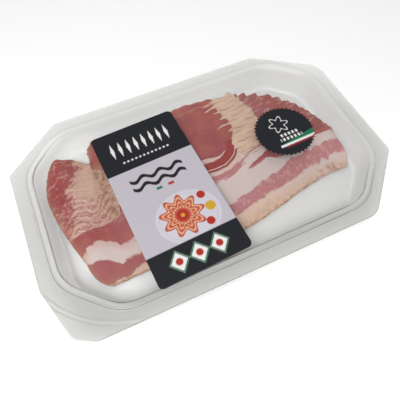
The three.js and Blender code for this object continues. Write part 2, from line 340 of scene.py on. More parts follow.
tray_pet, tree = new_material("clear_pet_thermoformed")
thickness_and_light, dark, highlight = (add_node(tree, "Attribute", output="Fac", attribute_name=name)
                       for name in ("thickness_and_light", "painted_shade_line", "painted_highlight_line"))
veil, depth = (add_node(tree, "MapRange", {0: thickness_and_light, 3: start, 4: end},
                        interpolation_type="SMOOTHSTEP")
               for start, end in ((VEIL_POCKET, VEIL_FLANGE), (0, 1)))
aslant = add_node(tree, "LayerWeight", {"Blend": 0.35}, "Facing")
# painted shade lines and painted highlights thicken the veil and tint it dark and bright
for number, share in ((aslant, VEIL_ASLANT), (dark, VEIL_SHADE_LINE), (highlight, VEIL_HIGHLIGHT)):
    veil = add_node(tree, "Math", {0: number, 1: share, 2: veil}, operation="MULTIPLY_ADD",
                    use_clamp=True)
tint = layered(tree, PET_THIN, [(depth, PET_THICK), (dark, PET_SHADE_LINE), (highlight, PET_HIGHLIGHT)])
place = add_node(tree, "TexCoord", output="Object")
ripple = add_node(tree, "TexNoise", {"Vector": place, "Scale": 1 / (RIPPLE * MM)})
ripple = add_node(tree, "Bump", {"Height": ripple, "Strength": 0.12, "Distance": 0.6 * MM})
shader = add_node(tree, "BsdfPrincipled", {
    "Base Color": tint, "Roughness": 0.16, "IOR": 1.57, "Alpha": veil, "Normal": ripple})
add_node(tree, "OutputMaterial", {"Surface": shader})
print("PET nodes:", len(tree.nodes))

# %% [markdown]
# ## Tray
# On the real pack a hot sheet is drawn into a mould, so one skin forms floor, wall and
# flange. It could be a box with its faces pushed in; rings of points are surer, because
# each ring is one height on one outline. One closed skin goes from the middle of the floor,
# out over the floor's rounded corner, up the leaning wall, over the rim, across the seal
# track and the flange, round the edge, and back under all of it. The seal track is a low
# step round the pocket that the film is welded to; it shows as a fine line parallel to the
# rim.


# %% Tray rings
def wall_inset(z):
    """How far the wall has leaned inwards at a height."""
    return POCKET_DRAFT * (1 - z / FLANGE_TOP)


def pocket_rings(offset, floor, top):
    """Floor, quarter arc and wall of the pocket, at an offset inwards from its mould line."""
    rings = [ring(pocket(offset + wall_inset(floor) + FLOOR_ROUND) * share, floor)
             for share in (0.25, 0.5, 0.75, 0.92)]
    for angle in np.linspace(0, np.pi / 2, 7):
        z = floor + FLOOR_ROUND * (1 - np.cos(angle))
        inset = offset + wall_inset(z) + FLOOR_ROUND * (1 - np.sin(angle))
        rings.append(ring(pocket(inset), z))
    for z in np.linspace(floor + FLOOR_ROUND, top, 7)[1:]:
        rings.append(ring(pocket(offset + wall_inset(z)), z))
    return rings


def flange_ring(share, z, inset=0.0):
    """Ring between the seal track's foot and the flange's edge."""
    return ring(mix(pocket(-SEAL_TRACK - 0.5), flange(inset), share), z)


bowl = pocket_rings(0.0, WALL, 16.0)
rim = [ring(pocket(-0.1), 16.5), ring(pocket(-0.35), 16.85), ring(pocket(-0.8), SEAL_TOP),
       ring(pocket(-1.6), SEAL_TOP), ring(pocket(-SEAL_TRACK + 0.5), SEAL_TOP),
       ring(pocket(-SEAL_TRACK + 0.1), SEAL_TOP - 0.08), ring(pocket(-SEAL_TRACK), 16.75),
       ring(pocket(-SEAL_TRACK - 0.15), FLANGE_TOP + 0.05), flange_ring(0.0, FLANGE_TOP)]
ledge = [flange_ring(s, FLANGE_TOP) for s in np.linspace(0.03, 0.97, 50)]
edge = [flange_ring(1.0, FLANGE_TOP, 0.5), flange_ring(1.0, FLANGE_TOP - 0.08, 0.1),
        flange_ring(1.0, FLANGE_TOP - 0.3), flange_ring(1.0, FLANGE_TOP - 0.5, 0.1),
        flange_ring(1.0, FLANGE_TOP - WALL, 0.5)]
under = [flange_ring(s, FLANGE_TOP - WALL) for s in (0.88, 0.7, 0.45, 0.2, 0.0)]
outside = pocket_rings(-WALL, 0.0, FLANGE_TOP - WALL - 0.2)[::-1]
tray_parts = (bowl, rim, ledge, edge, under, outside)
points, faces = shell(sum(tray_parts, []), (0, 0, WALL), (0, 0, 0))
tray = make_piece("tray_skin", points, faces, tray_pet, ["tray"])

# %% [markdown]
# The lines follow the rings, so a row of numbers, one for each ring, is enough: a painted
# shade line along the rim, a painted highlight on the seal track, a finer painted shade
# line at its foot and one round the flange's edge, and painted shade on the seal track's
# near side. Slow noise breaks them up, and they fade on the far side, where the light
# comes through. The peel tab at the near left corner is bent along a shallow crease, drawn
# by its distance from a curve as a painted highlight between two painted shade lines. The
# sheet's veil is thinner at the far side and gone in the pocket's left end, as painted
# light that lightens them, and denser in the right wall.

# %% Lines of the tray
CREASE_LINE = [(-99.5, -35.0), (-94.0, -43.5), (-87.5, -50.5), (-80.0, -56.3),
               (-71.0, -60.8), (-60.5, -64.3)]


def line_distance(line, x, y):
    """Distance from a line of points, below zero on its left side as it is walked."""
    best, side = np.full(np.shape(x), 1e9), np.zeros(np.shape(x))
    for (ax, ay), (bx, by) in zip(line[:-1], line[1:]):
        dx, dy = bx - ax, by - ay
        t = np.clip(((x - ax) * dx + (y - ay) * dy) / (dx * dx + dy * dy), 0, 1)
        away = np.hypot(x - ax - t * dx, y - ay - t * dy)
        left = dx * (y - ay) - dy * (x - ax)
        side = np.where(away < best - 1e-6, -np.sign(left), side)
        best = np.minimum(best, away)
    return best * side


def by_ring(*values):
    """One value for each ring of the six parts, given to all its points; the middles get 0."""
    rows = [np.broadcast_to(value, len(part)) for value, part in zip(values, tray_parts)]
    return np.concatenate([np.repeat(np.concatenate(rows), DIRECTIONS), [0, 0]])


def painted_tray_lines(x, y):
    """Painted shade lines and painted highlights at each point, from 0 to 1."""
    dark = by_ring(0, [1.0, 1.0, 0.4, 0, 0, 0.4, 1.0, 0.6, 0], 0, 0, 0, 0)
    highlight = by_ring(0, [0, 0, 0.3, 0.35, 0, 0, 0, 0, 0.2], 0, [0.5, 0, 0, 0, 0], 0, 0)
    on_seal = by_ring(0, [0, 0, 0, 1, 1, 1, 0, 0, 0], 0, 0, 0, 0)
    on_ledge = by_ring(0, 0, 1, 0, 0, 0)
    broken = 0.78 + 0.22 * lattice_noise(x + 300, y + 300, 9.0, 3)
    broken = broken * (1 - 0.75 * smooth(-30, 40, y + 0.6 * x))
    crease = line_distance(CREASE_LINE, x, y)
    # painted shade lines beside the peel tab's crease, and a painted highlight on it
    beside = bump(crease, 1.0, 0.32) + bump(crease, -1.0, 0.32)
    # painted shade: the seal track darker towards the near side
    shaded_seal = 0.27 * on_seal * (1 - smooth(-50, -30, y))
    dark = np.maximum.reduce([dark * broken, 0.4 * on_ledge * broken * beside, shaded_seal])
    return dark, np.maximum(highlight * broken, 0.25 * on_ledge * bump(crease, 0.0, 0.7))


def tray_thickness_and_light(x, y):
    """How dense the sheet's veil is at each point, from 0 to 1. It follows the thickness, with
    painted light: the veil thins towards the far side and is gone in the pocket's left end,
    which lightens them. It also thins at the flange's right end and is denser in the right wall.
    """
    floor_and_wall = [0.46] * 5 + [0.38, 0.34, 0.3] + [0.26] * 9
    wall = [0] * 8 + [1] * 9
    thickness_and_light = by_ring(floor_and_wall, np.linspace(0.3, 1, len(rim)), 1, 0.4, 1, floor_and_wall[::-1])
    in_wall = by_ring(wall, 0, 0, 0, 0, wall[::-1])
    in_pocket = by_ring(1, 0, 0, 0, 0, 1)
    # painted light: a thinner veil towards the far side lightens it there; the flange's right end
    # thins too
    lighter_far_and_right = (0.4 * smooth(-20, 60, y) + 0.2 * smooth(70, 95, x)) * (1 - in_pocket)
    # painted light: no veil in the pocket's left end, which lightens the floor beside the meat
    painted_light_left_end = 1 - in_pocket * (1 - smooth(-80, -40, x))
    return thickness_and_light * (1 - lighter_far_and_right) * (1 + 0.35 * in_wall * smooth(20, 70, x)) * painted_light_left_end


painted_shade_line, painted_highlight_line = painted_tray_lines(points[:, 0], points[:, 1])
set_marks(tray, {"thickness_and_light": tray_thickness_and_light(points[:, 0], points[:, 1]),
                 "painted_shade_line": painted_shade_line, "painted_highlight_line": painted_highlight_line})
print("darkest line:", painted_shade_line.max().round(2))

# %% [markdown]
# ## Film
# The film is a clear laminate, welded to the seal track and cut flush with the flange. It
# is pulled tight, so it only shows as a thin haze over the meat and as soft waves in its
# gloss. It could be one flat face, but a face without thickness shows no edge; so its skin
# is a flat plate whose top and bottom wave by less than a tenth of a millimetre. To the eye
# it is clear straight on, a little milky aslant, and glossy.

# %% Film material
FILM_RIPPLE = 200 / 9
HAZE_AHEAD, HAZE_ASLANT = 0.004, 0.08

film_clear, tree = new_material("clear_lidding_film")
place = add_node(tree, "TexCoord", output="Object")
waves = add_node(tree, "TexNoise", {"Vector": place, "Scale": 1 / (FILM_RIPPLE * MM), "Detail": 1})
waves = add_node(tree, "Bump", {"Height": waves, "Strength": 0.1, "Distance": 0.6 * MM})
aslant = add_node(tree, "LayerWeight", {"Blend": 0.3}, "Facing")
haze = add_node(tree, "MapRange", {0: aslant, 3: HAZE_AHEAD, 4: HAZE_ASLANT})
shader = add_node(tree, "BsdfPrincipled", {
    "Base Color": "#E6E6E2", "Roughness": 0.14, "IOR": 1.5, "Alpha": haze, "Normal": waves})
add_node(tree, "OutputMaterial", {"Surface": shader})
print("film nodes:", len(tree.nodes))

# %% Film mesh
FILM_BOTTOM, FILM_TOP = 17.3, 17.5
FILM_INSET = 0.4
film_edge = flange(FILM_INSET)


def film_ring(share, z, wave):
    """A share of the film's outline, at a height that waves with the place."""
    flat = ring(film_edge * share, z)
    flat[:, 2] += wave * lattice_noise(flat[:, 0] + 300, flat[:, 1] + 300, 23.0, 7)
    return flat


shares = np.array([0.1, 0.2, 0.3, 0.4, 0.5, 0.6, 0.7, 0.78, 0.86, 0.93, 0.97])
top_rings = [film_ring(s, FILM_TOP - 0.07, 0.06) for s in shares]
bottom_rings = [film_ring(s, FILM_BOTTOM + 0.06, 0.05) for s in shares[::-1]]
turn_rings = [film_ring(0.998, FILM_TOP - 0.03, 0),
              film_ring(1.0, (FILM_BOTTOM + FILM_TOP) / 2, 0),
              film_ring(0.998, FILM_BOTTOM + 0.02, 0)]
points, faces = shell([*top_rings, *turn_rings, *bottom_rings],
                      (0, 0, FILM_TOP - 0.07), (0, 0, FILM_BOTTOM + 0.06))
make_piece("lidding_film", points, faces, film_clear, ["film"])

# %% [markdown]
# ## How the slices lie
# Each slice is a strip about 165 mm long and 38 mm wide that lies along the tray. The
# farthest was laid first, and each next one a little nearer, so that only a ridge about
# 4 mm wide shows of every slice but the last. All slices lie on one smooth bed, which
# climbs the far wall and has a hump and a crease at the left. Slices could be dropped into
# the pocket by a simulation, but then no ridge would lie where the photo has it. So the
# same formulas as in the solids give the edges and the bed, as whole arrays.

# %% Edges of the pile
SLICES = 14
LAST = SLICES - 1
LAYER = 1.1
THICK = 0.95
BED_BOTTOM = 1.65
MIDDLE_SLICE = 6
CREASE_X = -57.0
CREASE_PULL = {1: 5.5, 2: 2.5}
FAR_LIMIT = 50.6
RIGHT_POWER = 2.35


def pitch(x):
    """Distance from one far edge to the next: the ridges draw together, then fan out."""
    return (4.12 - 0.16 * smooth(-64, -50, x) - 0.31 * smooth(10, 32, x)
            + 0.93 * smooth(34, 60, x))


def far_edge(x):
    """Far edge of the farthest slice, counted from that of slice 6."""
    middle = (20.3 + 5.9 * smooth(-64, -50, x) + 0.8 * smooth(10, 35, x)
              + 4.5 * smooth(32, 60, x) + 1.5 * bump(x, -76, 7))
    return middle + MIDDLE_SLICE * pitch(x)


def near_edge(x):
    """Near edge of the last slice: straight, then slanting away from the near side."""
    return -38.4 + 11 * smooth(2, 72, x) - smooth(72, 84, x)


def left_end(y):
    """An ellipse at the far corner, a slant, and an ellipse at the near corner."""
    far = -70.5 - 15.7 * np.sqrt(np.maximum(0.01, 1 - ((y - 20) / 22.8) ** 2))
    slant = -86.2 + 9 * (np.maximum(20 - y, 0) / 44) ** 1.6
    near = -64 - 13.2 * np.sqrt(np.maximum(0.12, 1 - ((y + 24) / 15.5) ** 2))
    return np.where(y > 20, far, np.where(y > -24, slant, near))


def right_end(y):
    """A rounded far corner, then nearly straight to the near edge."""
    rise = np.clip((y + 5) / 55.5, 0, 1)
    run = np.maximum(0.03, 1 - rise ** RIGHT_POWER) ** (1 / RIGHT_POWER)
    return 30 + 55 * run - 1.3 * (1 - smooth(-12, 0, y)) - 3 * (1 - smooth(-29, -20, y))


print("pile from", left_end(np.array(20.0)), "to", right_end(np.array(0.0)))


# %% The bed
def missing(x, y):
    """Slices that end before this place, counted smoothly."""
    nearer = LAST - (y - near_edge(x)) / pitch(x)
    run = np.clip((x - 30) / 55, 0, 0.975)
    outline = -5 + 55.5 * (1 - run ** RIGHT_POWER) ** (1 / RIGHT_POWER)
    ended = (far_edge(x) - outline) / pitch(x)
    return 0.6 * np.log(1 + np.exp(nearer / 0.6) + np.exp(ended / 0.6))


def bed_rise(x, y):
    """Climbs the far and right walls, humps at the left, a swell and a dome in the middle."""
    back = smooth(-34, -8, y)
    far = 6.4 * np.clip((y - 16) / 35, 0, 1) ** 2
    right = 3.6 * np.clip((x - 56) / 29, 0, 1) ** 2
    hump = 2.6 * bump(x, -73, 9) * back + 4.6 * bump(x, -77, 9) * smooth(16, 42, y)
    middle = 0.9 * smooth(CREASE_X, -46, x) * (1 - smooth(20, 60, x)) * back
    return far + right + hump + middle + 2.2 * bump(x, 13, 15) * smooth(28, 50, y)


def bed(x, y, number):
    """Height under a slice: a layer for each slice below it that still lies here."""
    return BED_BOTTOM + LAYER * (number - missing(x, y)) + bed_rise(x, y)


print("top of the pile:", bed(np.array(-30.0), np.array(0.0), LAST).round(1), "mm")

# %% [markdown]
# ## Lean and fat
# Bacon is layered: bands of lean run along the slice with bands of fat between them. On the
# shingled ridges each slice shows only its far edge, so there the bands stand side by
# side: lean at the left end, fat, smooth dark lean in the middle, a fan of fat, and lean
# again at the right end. A picture could hold the bands; lines through a few points are
# easier to read and to move. The result is a number from 0, fat, to 1, lean, at each point
# of the mesh, which the material reads and roughens.


# %% Borders of the ridges, as (y, x)
def along(table, t):
    """Straight pieces through rows of (place, value), sorted by place."""
    rows = np.array(sorted(table))
    return np.interp(t, rows[:, 0], rows[:, 1])


LEFT_LEAN = [(-9, -79.5), (-1, -77), (9, -74.4), (17, -73), (25, -70), (34, -66), (45, -64.5)]
MIDDLE_FROM = [(-10, -50), (24, -50), (31, -57.5), (50, -57.5)]
FAN_LEFT = [(8, 21.0), (12, 23.8), (20, 28.0), (26.4, 30.6), (33.0, 28.8), (38.8, 27.4),
            (44.9, 26.8), (50, 28.5)]
FAN_SPIKES = [(45.2, 8.0), (41.4, 9.0), (36.6, 5.0), (31.2, 4.0), (25.4, 10.0), (18.8, 4.5)]
FAN_RIGHT = [(-1, 37.5), (2, 38.4), (12, 40.4), (23, 47.2), (30, 47.2), (36, 46.7),
             (42, 44.4), (47, 43.2)]


def ridge_lean(x, y, number):
    """Lean left of the left border, between the crease and the fan, and right of the fan."""
    shift = 0.8 * np.sin(2.1 * number + 0.4)
    wander = plan_noise(x, y, 2.6, 11)
    soft = 1.6 * wander + 2.2 * streaks(x, y, 35, 4.0, 1.3, 71)
    left = 1 - smooth(-4.5, 4.5, x + shift + soft - along(LEFT_LEAN, y))
    slanted = y - 0.18 * (x - 22) + 0.3 * wander
    border = along(FAN_LEFT, y)
    for place, length in FAN_SPIKES:
        border = border - length * np.clip(1 - np.abs(slanted - place) / 1.25, 0, 1)
    middle = (smooth(-1, 1, x + wander - along(MIDDLE_FROM, y))
              * (1 - smooth(-0.8, 0.8, x + 0.6 * wander - border)))
    right = smooth(-1.0, 1.0, x + shift + 0.8 * wander - along(FAN_RIGHT, y))
    return np.maximum.reduce([left, middle, right])


print("lean at the middle:", ridge_lean(np.array(10.0), np.array(30.0), 4))

# %% Borders of the front slice, as (x, y)
UPPER_LEAN = [(-80, -21), (-77.2, -19.3), (-73, -16.5), (-68, -14.6), (-62.1, -17.2),
              (-58.1, -20.2), (-54, -21.2), (-50, -19.9), (-30, -15), (0, -11.2), (11, -8.9),
              (22, -5.2), (24, -9.2), (36, -6.6), (47, -8.4), (60, -6.5), (73, -3.6), (85, -4.4)]
TONGUE_TOP = [(23, -9), (30, -6.0), (38.5, -2.6), (41.8, 0.9), (44, 8)]
STREAK_TOP = [(-80, -23), (-77.4, -23.6), (-71.3, -24.5), (-67.3, -25.3), (-60.3, -29.3),
              (-50, -28), (3, -24.4), (11, -22.6), (21, -20.6), (31, -17.6), (42, -15.3),
              (48, -12.4), (62, -9.4), (81, -10.5)]
STREAK_FOOT = [(-80, -36), (-70.7, -38.5), (-66.5, -37.6), (-60.3, -36.6), (-50, -34.2),
               (3.6, -30.9), (17, -27.9), (30, -25.2), (45, -23.9), (58, -19.9), (73, -18.4),
               (82, -19.2)]
TURN = [(-20, 1.9), (1, 0.9), (7, 0.5), (12, 1.2), (15.5, 2.8), (18.4, 5.2), (20.5, 8.2),
        (21.6, 11.5), (22.0, 14.0)]
THIN_STREAKS = [[(22, -3.4), (27, -1.6), (33, 0.6), (39, 3.2)],
                [(25, -8.6), (30, -8.4), (35, -6.6)],
                [(8, -10.4), (15, -8.8), (21, -6.2)]]


def between(y, low, high, soft):
    """1 between two heights, with soft sides."""
    return smooth(-soft, soft, y - low) * smooth(-soft, soft, high - y)


def turn_bands(x, y):
    """Bands where the meat turns over, by s, the distance from the turn's line in millimetres.

    Returns the lean, the dark line of painted shade along the fold, the deep red, the faded
    red, and how far the turn reaches.
    """
    s = line_distance(TURN, x, y) + 0.25 * plan_noise(x, y, 2.5, 13)
    lean = np.interp(s, [2.3, 2.6, 3.0, 3.3, 4.3, 4.7, 6.6, 7.2, 9.6, 10.6],
                     [1, 0.2, 0.2, 1, 1, 0, 0, 0.8, 0.8, 0])
    pale_shape = between(s, 2.5 * smooth(4, 17, x) - 5.3, -2.4, 0.2) * (1 - smooth(15.5, 17.5, x))
    lean = lean * (1 - pale_shape) * (1 - smooth(6.8, 7.4, s) * smooth(-4.5, -2.5, y))
    # painted shade: dark lines along the fold where the meat turns over
    dark = bump(s, 4.1, 0.45) + 0.5 * bump(s, -2.2, 0.3)
    deep = smooth(-2.4, -1.8, s) * (1 - smooth(4.2, 4.6, s))
    zone = smooth(-24, -16, x) * (1 - smooth(23.2, 24.2, x)) * (1 - smooth(12.5, 13.8, y))
    faded = smooth(6.4, 7.2, s) * zone * 0.8
    return lean, dark * zone, deep * zone, faded, zone * (1 - smooth(10.0, 11.0, s))


def thin_streaks(x, y):
    """Pink streaks in the fat beside the turn: a bump over the distance from each line."""
    strength = [bump(line_distance(line, x, y), 0, 0.45) for line in THIN_STREAKS]
    return np.maximum.reduce(strength)


def front_lean(x, y):
    """Upper lean with the turned pale shapes, a tongue of lean on the right, and a lower streak."""
    wander = 0.7 * plan_noise(x, y, 3.4, 12) + 0.5 * plan_noise(x, y, 1.3, 14)
    edge = 1.1 - 0.5 * smooth(-30, 0, x)
    upper = smooth(-edge, edge, y + 0.7 * wander - along(UPPER_LEAN, x))
    beyond = smooth(22, 24, x) * smooth(-0.5, 0.5, y + 0.5 * wander - along(TONGUE_TOP, x))
    beyond = beyond * (1 - smooth(41, 44, x))
    ragged = 1 + 0.8 * smooth(42, 62, x)
    streak = between(y + wander * ragged, along(STREAK_FOOT, x), along(STREAK_TOP, x), 1.3 * ragged)
    turned, _, _, _, zone = turn_bands(x, y)
    return np.clip(mix(upper * (1 - beyond), turned, zone) + streak, 0, 1)


print("lean in the streak:", front_lean(np.array(30.0), np.array(-21.0)).round(2))

# %% The pile seen from above
FRONT_LINE = [(-82, -10.5), (-76, -9.5), (-66, -8.5), (-56, -8.5), (-52, -6), (-48, 9.5),
              (18, 9.5), (22, 10.5), (23.5, 2), (25, -1.2), (31, 0.2), (38, 1.2), (44, 0),
              (60, -2.5), (85, -4.2)]


def top_lean(x, y, number):
    """Ridges beyond the front line, the front slice's bands before it."""
    front = 1 - smooth(-0.5, 0.5, y - along(FRONT_LINE, x))
    return mix(ridge_lean(x, y, number), front_lean(x, y), front)


def flush(x, y):
    """1 where slices lie smooth on each other, 0 where ridges show."""
    middle = smooth(-53, -47, x) * (1 - smooth(16, 22, x - 0.1 * y))
    before = 1 - smooth(-4.0, -2.0, y - along(FRONT_LINE, x))
    corner = 0.6 * (1 - smooth(-58, -52, x)) * smooth(8, 18, y)
    return np.clip(np.maximum.reduce([middle, before * 0.8, corner]), 0, 1)


spot = np.array(8.0), np.array(25.0)
print("smooth lean:", top_lean(*spot, 6), "flush:", flush(*spot))

# %% [markdown]
# ## One slice
# A slice of bacon is limp, about a millimetre thick, and rounded at its cut edges. It could
# be cloth that is dropped on the bed; here it is two sheets of points, its upper and its
# lower face, that meet in a rounded edge, so that its place is known. The points run along
# the slice from its left end to its right end, and across it from the far edge, with the
# rows close together where the ridge shows. Meat is soft, so the upper face gets small
# swells and, on the ridges, a second lower pleat. Where the lean lies smooth, the far edge
# thins out and lies flush on the slice before it. At the left end the fat is thrown into
# soft folds, which rise and sink along a wandering lane.

# %% Rows and columns
COLUMNS = 400
SLICE_WIDTH, RIDGE_REACH = 37, 6
RIDGE_ROWS = np.concatenate([[0, 0.1, 0.25, 0.45], np.arange(0.7, 6.6, 0.3)])
ROW_STEP, LAST_ROW_STEP = 2.0, 0.55
EDGE_ROUND = 0.55
CORNER_LONG, CORNER_WIDE = 3.4, 2.3


def edge_wave(x, number):
    """Two slow waves along an edge, shifted from slice to slice."""
    return 0.35 * np.sin(0.31 * x + 2.4 * number) + 0.25 * np.sin(0.83 * x + 1.1 * number)


def slice_edges(x, number):
    """Far and near edge of a slice, with waves, the crease's pull and a curl at the left end."""
    curl = 0.8 * np.sin(0.72 * x + 1.9 * number) + 0.4 * np.sin(1.5 * x + 2.7 * number)
    wave = edge_wave(x, number) + curl * bump(x, -64, 9) * smooth(6, 10, number)
    pull = CREASE_PULL.get(number, 0) * bump(x, CREASE_X - 1.5, 4)
    far = np.minimum(far_edge(x) - number * pitch(x), FAR_LIMIT) - pull + wave
    near = near_edge(x) + (LAST - number) * pitch(x) + 0.4 * edge_wave(x + 20, number)
    return far, near


def corner_drop(from_right):
    """The far right corner is rounded by a quarter of an ellipse."""
    run = 1 - np.clip(from_right / CORNER_LONG, 0, 1)
    return CORNER_WIDE * (1 - np.sqrt(1 - run ** 2))


def end_of(side, guess, share, number):
    """Where each row meets the pile's outline, found by halving the way to it."""
    x = np.full(share.shape, guess)
    for _ in range(14):
        far, near = slice_edges(x, number)
        x = mix(x, side(mix(far, near, share)), 0.5)
    return x


def slice_plan(number):
    """x and y of each row and column, and the distance from the left and right end."""
    shares = RIDGE_ROWS / SLICE_WIDTH
    step = LAST_ROW_STEP if number == LAST else ROW_STEP
    rows = int((SLICE_WIDTH - RIDGE_REACH) / step)
    shares = np.concatenate([shares, np.linspace(shares[-1], 1, rows)[1:]])
    left = end_of(left_end, -80.0, shares, number)
    if number == 0:
        left = (-56.5 - 1.5 * smooth(0.0, 0.3, shares) + 3 * (1 - smooth(0, 0.08, shares))
                + 0.5 * np.sin(88 * shares))
    tip = end_of(right_end, 40.0, np.zeros(1), number)[0]
    right = np.minimum(tip + 2 * shares, end_of(right_end, 60.0, shares, number))
    t = np.linspace(0, 1, COLUMNS)
    x = mix(left[:, None], right[:, None], t[None, :])
    far, near = slice_edges(x, number)
    from_right = right[:, None] - x
    y = mix(far - corner_drop(from_right), near, shares[:, None])
    return x, y, x - left[:, None], from_right


plan = slice_plan(3)
print("a slice's plan:", plan[0].shape, "from", plan[0].min().round(1), "to",
      plan[0].max().round(1))


# %% Pleats
def pleats(x, y, number):
    """Place across a ridge, from 0 at its crest to 1 at its foot, strength, folds and furrows."""
    far, _ = slice_edges(x, number)
    across = (far - y) / pitch(x)
    smooth_left = 0.75 * (1 - smooth(-58, -52, x)) * smooth(8, 16, y)
    strength = 0.6 + 0.4 * lattice_noise(x + 200, 0 * y + 7.0 * number, 7.0, 60 + number)
    strength = np.clip(strength, 0, 1) * (1 - flush(x, y)) * (1 - smooth_left)
    slant = 0.2 * (np.clip(x, 16, 46) - 26) * (1 - 2.2 * smooth(18, 42, y)) * smooth(16, 22, x)
    phase = 3.2 * across + slant + 0.7 * plan_noise(x, y, 4.0, 80 + number)
    folds = 0.5 - 0.5 * np.cos(2 * np.pi * phase)
    broken = smooth(-0.5, 0.5, lattice_noise((x + 200) * 0.4, y + 200, 1.6, 90 + number))
    furrows = 1 - smooth(0.0, 0.4, folds)
    return across, strength, folds * broken * strength, furrows * (0.4 + 0.6 * broken) * strength


def fold_zone(x, y):
    """1 in the folded fat near the left end."""
    return (smooth(-80, -74, x) * (1 - smooth(-56, -50, x)) * smooth(-11, -8, y)
            * (1 - smooth(7, 17, y)))


def fold_lane(x, y, across):
    """Place across a ridge, slanted and wavy, so that its furrow wanders."""
    return (across + 0.05 * (x + 66) + 0.38 * plan_noise(x, y, 6.5, 97)) % 1


def slice_faces(number):
    """Heights of the upper and lower face.

    The lower face follows the bed. The thickness grows from the edges as a quarter circle,
    sqrt(1 - (1 - r)^2), and the upper face swells with noise, pleats and soft folds; a flush
    far edge thins by one layer.
    """
    x, y, from_left, from_right = slice_plan(number)
    across, strength, fine, _ = pleats(x, y, number)
    sunk = flush(x, y) * (1 - np.clip(across, 0, 1)) * (number > 0)
    low = bed(x, y, number) - 0.1 * sunk
    far, near = slice_edges(x, number)
    rim = np.minimum.reduce([far - corner_drop(from_right) - y, y - near, from_left, from_right])
    rounding = np.sqrt(1 - (1 - np.clip(rim / EDGE_ROUND, 0, 1)) ** 2)
    body = THICK * (0.1 + 0.9 * rounding)
    swell = 0.16 * plan_noise(x, y + 9 * number, 4.5, 20 + number)
    second = 0.25 * strength * (bump(across, 0.6, 0.13) - bump(across, 0.38, 0.1)) + 0.3 * fine
    folds = 0.14 * lattice_noise((x + 200) * 0.35, y * 1.3 + 200, 1.5, 40 + number)
    lane = fold_lane(x, y, across)
    puffs = fold_zone(x, y) * (0.5 * bump(lane, 0.22, 0.2) - 0.35 * bump(lane, 0.62, 0.2))
    relief = (swell + second + folds * (1 - flush(x, y)) + puffs) * smooth(0, 1.2, rim)
    top = np.maximum(low + body - LAYER * sunk + relief * (1 - 0.92 * flush(x, y)), low + 0.08)
    return x, y, low, top


print("highest point of slice 4:", slice_faces(3)[3].max().round(1), "mm")

# %% [markdown]
# ## Marks on the meat
# Seven more numbers go with each point: how much painted shade it gets at the foot of a
# ridge and in a groove, how pale and how deep a red its lean is, with painted shade at the
# left end, how strongly flecks of fat cross it, how tan it is near the skin side, and how
# pink and how blushed its fat is. They could be painted on by hand; as formulas of the place
# they can be read, and they follow a slice when its edge moves. The flecks are streaks of
# noise, across the slices at the left end and aslant at the right end, as the grain of the
# muscle runs.


# %% Flecks
def fleck_marks(x, y, number):
    """Flecks of the ridges, and blotches of the front slice's lower streak."""
    y = y + 0.7 * number
    left = 0.6 * streaks(x, y, 30, 3.0, 1.2, 71) + 0.5 * streaks(x, y, 60, 1.6, 0.9, 72)
    right = streaks(x, y, 24, 5.0, 1.3, 73) + 0.5 * streaks(x, y, 16, 2.4, 0.9, 74)
    front = plan_noise(x, y, 1.7, 75) + 0.6 * plan_noise(x, y, 0.8, 76)
    dots = 0.75 * plan_noise(x, y, 0.9, 77)
    side = mix((0.5 * left + dots) * (1 - smooth(-62, -54, x)), right, smooth(36, 42, x))
    return side, front


print("spread of the flecks:", fleck_marks(*plan[:2], 3)[0].std().round(2))


# %% Masks that the marks share
def shared_masks(number, x, y):
    """The place, and masks from 0 to 1 by name.

    own is the place across, moved to where it would be on the last slice. shown is the
    ridge that the next slice leaves open, and before is all that lies on the near side of
    the front line. folded is the folded fat at the left end, with its furrows.
    """
    m = SimpleNamespace(number=number, x=x, y=y)
    m.across, m.strength, _, m.valleys = pleats(x, y, number)
    m.own = y - (LAST - number) * pitch(x)
    m.shown = 1 - smooth(1.9, 2.3, m.across) if number < LAST else np.ones_like(x)
    m.before = 1 - smooth(-1.0, 1.0, y - along(FRONT_LINE, x))
    _, m.dark, m.deep, m.faded, m.turned = turn_bands(x, y)
    m.thin = thin_streaks(x, y) * m.shown
    m.streak = m.before * (1 - smooth(-0.5, 0.5, m.own - along(STREAK_TOP, x))) * m.shown
    m.folded = fold_zone(x, y) * m.shown
    patchy = 0.7 + 0.3 * plan_noise(x, y, 3.1, 98)
    m.furrow = m.folded * patchy * bump(fold_lane(x, y, m.across), 0.6, 0.3)
    m.valley = bump(x, -54.5, 4.6) * smooth(-11, -4, y) * (1 - smooth(28, 36, y))
    m.low_left = (1 - smooth(-74, -66, x)) * (1 - smooth(4, 18, y))
    m.fading = bump(x, along(LEFT_LEAN, y) + 2.2, 3.6) * (1 - m.before)
    return m


print("share of slice 4 that shows:", shared_masks(3, *plan[:2]).shown.mean().round(2))


# %% Marks of the lean
def lean_mark(m):
    """The bands, and a share of lean in the furrows of the folds and in the thin streaks."""
    bands = mix(front_lean(m.x, m.own), top_lean(m.x, m.y, m.number), m.shown)
    return np.clip(bands + 0.75 * m.furrow + 0.8 * m.thin, 0, 1)


def groove_shade_mark(m):
    """Painted shade where slices meet: at the foot of each ridge, in the fan, round the turn and in
    the crease.
    """
    foot = smooth(0.7, 0.97, m.across) if m.number < LAST else np.zeros_like(m.x)
    pleated = np.minimum(foot * m.strength + 1.2 * m.valleys * smooth(18, 22, m.x), 1) * m.shown
    round_turn = m.dark * (1 - smooth(13, 14, m.y))
    front_line = 0.8 * bump(m.y - along(FRONT_LINE, m.x), 0.3, 0.55)
    front_line = front_line * smooth(23, 26, m.x) * (1 - smooth(38, 44, m.x))
    return np.clip(np.maximum.reduce([pleated, round_turn, front_line, 0.35 * m.valley]), 0, 1)


